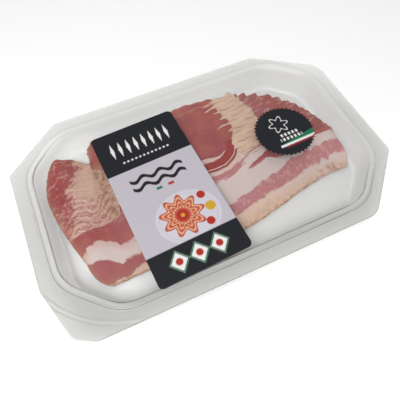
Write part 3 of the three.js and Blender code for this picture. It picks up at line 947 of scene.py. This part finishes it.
def pale_mark(m):
    """Paler lean: towards the right end, in the streak, and where lean fades into fat."""
    right = (0.35 - 0.3 * smooth(52, 62, m.x)) * smooth(38, 44, m.x)
    streak = np.maximum(0.95 * smooth(-40, 0, m.x), mix(0.12, 0.3, smooth(-60, -30, m.x)))
    return np.maximum.reduce([right, streak * m.streak, m.faded, 0.8 * m.thin, 0.9 * m.furrow,
                              0.6 * m.fading])


def fleck_mark(m):
    """Flecks of fat, 0.5 where there are none; more of them at the low left."""
    side, front = fleck_marks(m.x, m.y, m.number)
    front = front * (0.1 + 0.9 * m.streak * smooth(-30, 0, m.x))
    return 0.5 + 0.5 * np.clip(mix(side + 0.35 * m.low_left, front, m.before), -1, 1)


def deep_mark(m):
    """Deep red: in the turned meat as its own colour, and at the left end, most of all at its tip,
    as painted shade.
    """
    left = 1 - smooth(-60, -40, m.x)
    # painted shade: the left end darker, most of all at its tip
    left_end_shade = np.maximum(mix(0.75, 0.2, smooth(-79, -66, m.x)), 0.3 * left)
    return np.maximum(m.deep * (1 - smooth(13, 14, m.y)), left_end_shade * left * (1 - 0.6 * m.furrow))


print("lean share of slice 4:", lean_mark(shared_masks(3, *plan[:2])).mean().round(2))


# %% Marks of the fat
def tan_mark(m):
    """Tan: along the left end, the crease, the skin side, one patch and the farthest crests."""
    far, near = slice_edges(m.x, m.number)
    rows = np.clip((far - m.y) / (far - near), 0, 1)[:, 0]
    from_end = np.maximum(m.x - end_of(left_end, -80.0, rows, m.number)[:, None], 0)
    reach = 1.6 + 1.2 * m.low_left * (1 - m.before)
    end = 0.9 * np.exp(-from_end / reach) if m.number else 0.95 * bump(m.x, -56.5, 2.6)
    from_skin = m.own - near_edge(m.x)
    skin = np.maximum(0.75 * (1 - smooth(0.3, 2.4, from_skin)), 0.3 * (1 - smooth(2, 7, from_skin)))
    patch = 0.8 * bump(m.x, 70, 9) * bump(m.own, -25.5, 3.0)
    crest = (0.8 - 0.5 * bump(m.x, 33, 9)) * (1 - smooth(0.3, 1.4, far - m.y)) * (m.number < 2)
    return np.clip(np.maximum.reduce([end, m.valley, skin, patch, crest]), 0, 1)


def pink_mark(m):
    """Pink fat: on the front slice away from its skin side, and in the folds."""
    from_skin = m.own + 8 * (1 - smooth(-60, -40, m.x))
    front = m.before * smooth(-34, -18, from_skin) * m.shown * (1 - 0.35 * m.turned)
    return np.maximum(front, 0.3 * m.folded)


def blush_mark(m):
    """Blushed fat: at the left end, beside the lean, in the folds and in the low fan."""
    beyond, low = 1 - m.before, 1 - smooth(8, 16, m.y)
    left = (1 - smooth(-58, -50, m.x)) * (0.5 + 0.5 * low) * beyond
    under_lean = bump(m.own - along(UPPER_LEAN, m.x), -1.0, 2.6) * (1 - smooth(-50, -30, m.x))
    fan = 0.4 * smooth(28, 36, m.x) * low * beyond
    return np.maximum.reduce([left, fan, m.fading, 0.9 * under_lean * m.before,
                              0.3 * m.turned * m.before, 0.6 * m.folded])


MARKS = {"lean": lean_mark, "groove_shade": groove_shade_mark, "pale": pale_mark, "fleck": fleck_mark,
         "tan": tan_mark, "pink": pink_mark, "blush": blush_mark, "deep": deep_mark}


def slice_marks(number, x, y):
    """All marks of one slice, each from 0 to 1."""
    masks = shared_masks(number, x, y)
    return {name: mark(masks) for name, mark in MARKS.items()}


print("marks of a slice:", sorted(slice_marks(5, *slice_plan(5)[:2])))

# %% [markdown]
# ## Raw meat
# Lean is muscle: dusky red, moist, with fine fibres and pale flecks of fat. Fat is cream
# to white with a little pink, smoother and waxier, and it lets light in, which softens its
# shadows. One material mixes the two by the lean number, and noise a millimetre or two
# across roughens the border, so that it looks grown and not drawn. Where slices meet, a
# brown line of painted shade darkens the meat, and the skin side is tan. Real fibres are
# finer than the picture shows, so the fine noise is drawn at 1.3 mm.

# %% Meat colours
LEAN_DEEP, LEAN_DUSKY, LEAN_PALE = "#8E4347", "#9C5048", "#A86F72"
# deep red of the turned meat, also laid as painted shade on the left end
DEEP_RED_AND_SHADE = "#8A2E2E"
FLECK = "#BE9087"
FAT_CREAM, FAT_PINK, FAT_BLUSH = "#C8AC97", "#BFAEAA", "#B88A7F"
SKIN_TAN, SKIN_BROWN = "#B0886F", "#8C634D"
# painted shade: the brown laid where slices meet and in the grooves
GROOVE_SHADE, GROOVE_SHADE_SHARE = "#7C4C3E", 0.62
FIBRE, PATCH, SPOT = 4 / 3, 10.0, 25 / 9
BORDER_ROUGH, FLECK_ROUGH = 0.9, 0.5
FAT_ROUGHNESS, LEAN_ROUGHNESS = 0.4, 0.48


def meat_colour(tree, marks, fine, broad, spots):
    """Lean over fat by the lean number, then the tan skin side, then painted shade in the grooves.

    Each row of the table is a smooth ramp: while its source goes from low to high, it goes
    from start to end.
    """
    offset = add_node(tree, "Math", {0: fine, 1: 0.5}, operation="SUBTRACT")
    rough, mottled = (add_node(tree, "Math", {0: offset, 1: share, 2: marks[name]},
                               operation="MULTIPLY_ADD")
                      for name, share in (("lean", BORDER_ROUGH), ("fleck", FLECK_ROUGH)))
    ramps = {name: add_node(tree, "MapRange", {0: source, 1: low, 2: high, 3: start, 4: end},
                            interpolation_type="SMOOTHSTEP")
             for name, source, low, high, start, end in (
                 ("lean", rough, 0.2, 0.8, 0.0, 1.0),
                 ("dusky patches", broad, 0.35, 0.65, 0.0, 1.0),
                 ("flecks in lean", mottled, 0.56, 0.9, 0.0, 0.6),
                 ("flecks in fat", mottled, 0.1, 0.4, 0.3, 0.0),
                 ("uneven blush", fine, 0.3, 0.65, 0.25, 0.8),
                 ("light skin", spots, 0.38, 0.56, 0.0, 1.0),
                 ("uneven tan", spots, 0.4, 0.62, 1.0, 0.45))}
    # the groove mark lays painted shade, a brown tint where slices meet
    blush, tan, painted_groove_shade = (add_node(tree, "Math", {0: marks[name], 1: share}, operation="MULTIPLY")
                         for name, share in (("blush", ramps["uneven blush"]),
                                             ("tan", ramps["uneven tan"]),
                                             ("groove_shade", GROOVE_SHADE_SHARE)))
    red = layered(tree, LEAN_DEEP, [
        (ramps["dusky patches"], LEAN_DUSKY), (marks["pale"], LEAN_PALE),
        (marks["deep"], DEEP_RED_AND_SHADE), (ramps["flecks in lean"], FLECK)])
    fat = layered(tree, FAT_CREAM, [
        (marks["pink"], FAT_PINK), (ramps["flecks in fat"], FLECK), (blush, FAT_BLUSH)])
    skin = layered(tree, SKIN_BROWN, [(ramps["light skin"], SKIN_TAN)])
    return layered(tree, fat, [(ramps["lean"], red), (tan, skin), (painted_groove_shade, GROOVE_SHADE)]), ramps["lean"]


# %% Meat material
def meat_material():
    """Moist meat for lean and fat alike; the waxy fat is a little glossier than the lean."""
    material, tree = new_material("raw_bacon")
    marks = {name: add_node(tree, "Attribute", output="Fac", attribute_name=name)
             for name in MARKS}
    place = add_node(tree, "TexCoord", output="Object")
    fine, broad, spots = (
        add_node(tree, "TexNoise", {"Vector": place, "Scale": 1 / (size * MM), "Detail": detail,
                                    "Roughness": roughness})
        for size, detail, roughness in ((FIBRE, 4, 0.65), (PATCH, 3, 0.5), (SPOT, 3, 0.6)))
    meat, lean = meat_colour(tree, marks, fine, broad, spots)
    gloss = add_node(tree, "MapRange", {0: lean, 3: FAT_ROUGHNESS, 4: LEAN_ROUGHNESS},
                     interpolation_type="SMOOTHSTEP")
    grain = add_node(tree, "Bump", {"Height": fine, "Strength": 0.3, "Distance": 0.4 * MM})
    shader = add_node(tree, "BsdfPrincipled", {
        "Base Color": meat, "Roughness": gloss, "Normal": grain, "IOR": 1.42,
        "Specular IOR Level": 0.35, "Subsurface Weight": 0.1, "Subsurface Scale": MM,
        "Subsurface Radius": (1.0, 0.45, 0.3)})
    add_node(tree, "OutputMaterial", {"Surface": shader})
    return material


raw_bacon = meat_material()
print("meat nodes:", len(raw_bacon.node_tree.nodes))


# %% Two sheets make a solid
def two_sheets(upper, lower):
    """Two grids of points, one above the other, joined round their border."""
    rows, columns, _ = upper.shape
    count = rows * columns
    index = np.arange(count).reshape(rows, columns)
    border = np.concatenate([index[0, :-1], index[:-1, -1], index[-1, :0:-1], index[:0:-1, 0]])
    onward = np.roll(border, -1)
    side = np.stack([border, onward, onward + count, border + count], -1)
    points = np.vstack([upper.reshape(-1, 3), lower.reshape(-1, 3)])
    upper_faces, lower_faces = grid_faces(rows, columns), grid_faces(rows, columns, first=count)
    return points, [upper_faces[:, ::-1], lower_faces, side]


print("points of two 2 by 2 sheets:", len(two_sheets(np.zeros((2, 2, 3)), np.ones((2, 2, 3)))[0]))


# %% Slices
def make_slice(number):
    """One slice, from its two faces, with its marks."""
    x, y, low, top = slice_faces(number)
    points, faces = two_sheets(np.stack([x, y, top], -1), np.stack([x, y, low], -1))
    name = f"slice_{number + 1:02d}"
    piece = make_piece(f"bacon_{name}", points, faces, raw_bacon, [name])
    set_marks(piece, slice_marks(number, x, y))
    return piece


slices = [make_slice(number) for number in range(SLICES)]

# %% [markdown]
# ## Label
# The label is coated paper, stuck on the film, with a dark panel at the top and at the foot
# and a pale one between. Its print is plain ornament: a row of pointed bars over dots, two
# waves, a scalloped rosette and a few discs on a pale round, and lozenges at the foot. A
# print could be a picture laid on the paper; here each ink is a number on a fine grid of
# points, 1 where a formula says that it is printed, and the material lays the inks over
# each other, as a press does.

# %% Inks
LABEL_SIZE = (50.4, 98.0)
LABEL_CENTRE = (-25.3, -5.4)
LABEL_TURN = 2.6
LABEL_ROUND = 2.5
LABEL_ROWS, LABEL_COLUMNS = 300, 150
PAPER_BOTTOM, PAPER_TOP = 17.56, 17.72
PRINT_SOFT = 0.15
DARK, PANEL, WHITE, PLATE = "#15171D", "#B4AFB6", "#DDD9D8", "#C2BEC7"
PETAL, VEIN, BERRY, YELLOW = "#AE4A33", "#CF9D7E", "#A3281F", "#C0982B"
GREEN, RED = "#1B6B48", "#7A2026"


def within(distance):
    """1 where a signed distance in millimetres is below zero, soft over the grid's step."""
    return 1 - smooth(-PRINT_SOFT, PRINT_SOFT, distance)


def cells(u, pitch_mm):
    """Distance from the middle of the nearest cell in an even row."""
    return np.abs((u / pitch_mm) % 1 - 0.5) * pitch_mm


def disc(u, v, at, radius):
    """1 inside a circle: the distance from its middle less its radius is below zero."""
    return within(np.hypot(u - at[0], v - at[1]) - radius)


def white_bars(u, v):
    """Pointed bars over a row of dots, on the dark panel at the top."""
    bars = within(cells(u, 4.7) * 5.2 + np.abs(v - 35.5) - 5.6) * within(np.abs(u) - 18.8)
    dots = within(np.hypot(cells(u, 2.4), v - 25.8) - 0.62) * within(np.abs(u) - 14.4)
    return bars + dots


def lozenges(u, v):
    """Three lozenges on the dark foot: the white body, its edge and the disc in its middle."""
    across = cells(u + 5.5, 11)
    away = across * 1.15 + np.abs(v + 40.2) - 6.2
    row = within(np.abs(u) - 16.5)
    return (within(away) * row, within(np.abs(away + 0.5) - 0.55) * row,
            within(np.hypot(across, v + 40.2) - 1.9) * row)


def rosette(u, v):
    """A pale round with a rim, petals with a wavy edge, and the veins that follow it."""
    above_foot = within(-31.9 - v)
    away = np.hypot(u - 4, (v + 20) * 1.15)
    plate = within(away - 17.5) * above_foot
    plate = plate - 0.6 * within(np.abs(away - 15.4) - 0.35) * above_foot * plate
    away = np.hypot(u - 1.5, v + 18.2)
    scallop = np.cos(9 * np.arctan2(v + 18.2, u - 1.5))
    petals = within(away - 10.6 - 1.9 * scallop) * above_foot
    veins = within(0.2 - np.sin((away - 1.5 * scallop) * 2.3)) * petals * within(4.2 - away)
    return plate, petals, veins


def label_inks(u, v):
    """Coverage of each ink, at u across and v up from the label's middle."""
    gems, gem_edges, gem_discs = lozenges(u, v)
    plate, petals, veins = rosette(u, v)
    waves = within(np.abs(np.abs(v - 9.5 - 1.3 * np.sin(u * 0.62)) - 2.6) - 1.15)
    waves = waves * within(np.abs(u) - 15.5)
    dashes = within(np.abs(v - 2.2) - 0.8) * within(np.abs(np.abs(u - 1) - 3.4) - 1.6)
    reds = [disc(u, v, (1.5, -18.2), 3.1), disc(u, v, (15.2, -11.5), 2.3),
            disc(u, v, (13.0, -27.5), 2.3)]
    yellows = [disc(u, v, (16.8, -19.6), 2.8), disc(u, v, (1.5, -18.2), 1.1)]
    return {"dark": np.maximum.reduce([within(20 - v), within(v + 32), waves]),
            "white": np.clip(white_bars(u, v) + gems, 0, 1),
            "green": np.maximum(gem_edges, dashes * (u < 1)),
            "red": np.maximum(gem_discs, dashes * (u > 1)),
            "plate": plate, "petal": petals, "vein": veins,
            "berry": np.maximum.reduce(reds), "yellow": np.maximum.reduce(yellows)}


print("inks:", ", ".join(label_inks(np.zeros(1), np.zeros(1))))


# %% Paper
PAPER_GRAIN = 0.4


def paper_material(name, paper, inks):
    """Coated, printed paper: satin, with the inks laid over each other in order.

    The grain of a real coating is finer than the picture shows, so it is drawn at 0.4 mm.
    """
    material, tree = new_material(name)
    printed = layered(tree, paper, [
        (add_node(tree, "Attribute", output="Fac", attribute_name=mark), ink)
        for mark, ink in inks])
    place = add_node(tree, "TexCoord", output="Object")
    grain = add_node(tree, "TexNoise", {"Vector": place, "Scale": 1 / (PAPER_GRAIN * MM)})
    grain = add_node(tree, "Bump", {"Height": grain, "Strength": 0.05, "Distance": 0.1 * MM})
    shader = add_node(tree, "BsdfPrincipled", {
        "Base Color": printed, "Roughness": 0.42, "Specular IOR Level": 0.3, "Normal": grain})
    add_node(tree, "OutputMaterial", {"Surface": shader})
    print(name, len(tree.nodes), "nodes")
    return material


# %% Label mesh
def label_sheet():
    """u and v over a rectangle whose corners are quarter circles: its end rows get shorter."""
    width, height = LABEL_SIZE
    v = np.linspace(-height / 2, height / 2, LABEL_ROWS)
    corner = np.clip(np.abs(v) - (height / 2 - LABEL_ROUND), 0, LABEL_ROUND)
    half = width / 2 - LABEL_ROUND + np.sqrt(LABEL_ROUND ** 2 - corner ** 2)
    u = np.linspace(-1, 1, LABEL_COLUMNS)[None, :] * half[:, None]
    return u, np.repeat(v[:, None], LABEL_COLUMNS, 1)


def placed(u, v, centre, turned, z):
    """Turns a flat grid about its middle and moves it to its place at a height."""
    a = np.radians(turned)
    return np.stack([u * np.cos(a) - v * np.sin(a) + centre[0],
                     u * np.sin(a) + v * np.cos(a) + centre[1], np.full_like(u, z)], -1)


u, v = label_sheet()
points, faces = two_sheets(placed(u, v, LABEL_CENTRE, LABEL_TURN, PAPER_TOP),
                           placed(u, v, LABEL_CENTRE, LABEL_TURN, PAPER_BOTTOM))
faces = [f[:, ::-1] for f in faces]
label_paper = paper_material("coated_label_paper", PANEL, [
    ("plate", PLATE), ("petal", PETAL), ("vein", VEIN), ("berry", BERRY), ("yellow", YELLOW),
    ("dark", DARK), ("white", WHITE), ("green", GREEN), ("red", BERRY)])
label = make_piece("printed_label", points, faces, label_paper, ["label"])
set_marks(label, label_inks(u, v))

# %% [markdown]
# ## Sticker
# A round dark sticker with a punched, toothed edge, an outlined flower, two rows of bars and
# a stripe in three colours. Its teeth could be cut out of a disc; a polar grid is simpler,
# because its rings only have to reach farther and less far in turn.

# %% Sticker mesh
STICKER_RADIUS, STICKER_TEETH, TOOTH, TOOTH_STEPS = 17.5, 42, 1.1, 8
STICKER_CENTRE = (52.3, 1.9)


def sticker_inks(u, v):
    """A white stripe between a green wedge and a red one, a flower's outline, rows of bars."""
    slope = v - 0.03 * u
    reach = within(-7.5 - u) * within(u - 17.0)
    green = within(np.maximum(slope + 7.7 - 0.14 * (u + 2), -9.2 - slope)) * reach
    white = within(np.abs(slope + 9.4) - 0.75) * reach
    red = within(np.maximum(slope + 10.0, -11.5 - slope)) * within(-5 - u)
    around, away = np.arctan2(v - 5.5, u + 1), np.hypot(u + 1, v - 5.5)
    flower = within(np.abs(away - 4.6 - 1.3 * np.cos(6 * around)) - 0.35)
    bars = (within(np.abs(v + 2.6) - 0.95) * within(np.abs(u - 1.5) - 5.5)
            + within(np.abs(v + 5.6) - 0.95) * within(np.abs(u - 1.5) - 7.0))
    gaps = within(0.55 - cells(u - 1.5, 2.4))
    return {"green": green, "red": red, "white": np.clip(white + flower + bars * gaps, 0, 1)}


def toothed_ring(share, z):
    """A ring of the sticker at a share of its reach; teeth grow near the edge."""
    teeth = np.arange(STICKER_TEETH * TOOTH_STEPS) / TOOTH_STEPS
    angle = teeth / STICKER_TEETH * 2 * np.pi
    saw = np.abs(2 * (teeth % 1) - 1)
    reach = share * (STICKER_RADIUS - TOOTH * saw * smooth(0.85, 1.0, share))
    return np.stack([STICKER_CENTRE[0] + reach * np.cos(angle),
                     STICKER_CENTRE[1] + reach * np.sin(angle), np.full_like(angle, z)], -1)


shares = np.concatenate([np.linspace(0.02, 0.9, 50), np.linspace(0.92, 1.0, 8)])
top_rings = [toothed_ring(s, PAPER_TOP) for s in shares]
bottom_rings = [toothed_ring(s, PAPER_BOTTOM) for s in shares[::-6]]
points, faces = shell([*top_rings, *bottom_rings], (*STICKER_CENTRE, PAPER_TOP),
                      (*STICKER_CENTRE, PAPER_BOTTOM))
sticker_paper = paper_material("coated_sticker_paper", DARK, [
    ("green", GREEN), ("red", RED), ("white", WHITE)])
sticker = make_piece("round_sticker", points, faces, sticker_paper, ["sticker"])
u, v = points[:, 0] - STICKER_CENTRE[0], points[:, 1] - STICKER_CENTRE[1]
set_marks(sticker, sticker_inks(u, v))

# %% [markdown]
# ## Table and light
# A plain pale table and even light from all round, as in a packshot. More lamps could do
# the same, but clear plastic would mirror each of them; so one large soft lamp stands high
# at the near left, and gives the ridges of the meat a shaded side. White laminate is even
# and dull, so the table takes the pack's soft shadow and mirrors nothing.

# %% Table
MOTTLE = 50 / 3

table_white, tree = new_material("white_laminate_table")
place = add_node(tree, "TexCoord", output="Object")
mottle = add_node(tree, "TexNoise", {"Vector": place, "Scale": 1 / (MOTTLE * MM)})
shade = add_node(tree, "MapRange", {0: mottle, 3: 0.97, 4: 0.98})
shader = add_node(tree, "BsdfPrincipled", {"Base Color": shade, "Roughness": 0.7})
add_node(tree, "OutputMaterial", {"Surface": shader})
print("table nodes:", len(tree.nodes))

TABLE_HALF = 1.5
floor_mesh = bpy.data.meshes.new("table")
floor_mesh.from_pydata([(-TABLE_HALF, -TABLE_HALF, 0), (TABLE_HALF, -TABLE_HALF, 0),
                        (TABLE_HALF, TABLE_HALF, 0), (-TABLE_HALF, TABLE_HALF, 0)],
                       [], [(0, 1, 2, 3)])
floor_mesh.materials.append(table_white)
floor = bpy.data.objects.new("table", floor_mesh)
bpy.context.collection.objects.link(floor)

# %% Lamps
SKY = 0.52
KEY_AT, KEY_POWER, KEY_SIZE = (-0.25, -0.3, 0.7), 4.8, 0.4
world = bpy.data.worlds.new("studio")
bpy.context.scene.world = world
world.use_nodes = True
background = world.node_tree.nodes["Background"]
background.inputs["Color"].default_value = colour("#FFFFFF")
background.inputs["Strength"].default_value = SKY


def soft_lamp(name, at, power, size):
    """A square area lamp at a place in metres, turned to the middle of the pack."""
    data = bpy.data.lights.new(name, "AREA")
    data.energy = power
    data.size = size
    lamp = bpy.data.objects.new(name, data)
    bpy.context.collection.objects.link(lamp)
    place = Vector(at)
    turned = (-place).to_track_quat("-Z", "Y").to_matrix().to_4x4()
    lamp.matrix_world = Matrix.Translation(place) @ turned


soft_lamp("key", KEY_AT, KEY_POWER, KEY_SIZE)
bpy.context.scene.view_settings.view_transform = "Standard"
print("sky:", SKY, "lamp:", KEY_POWER, "watts")
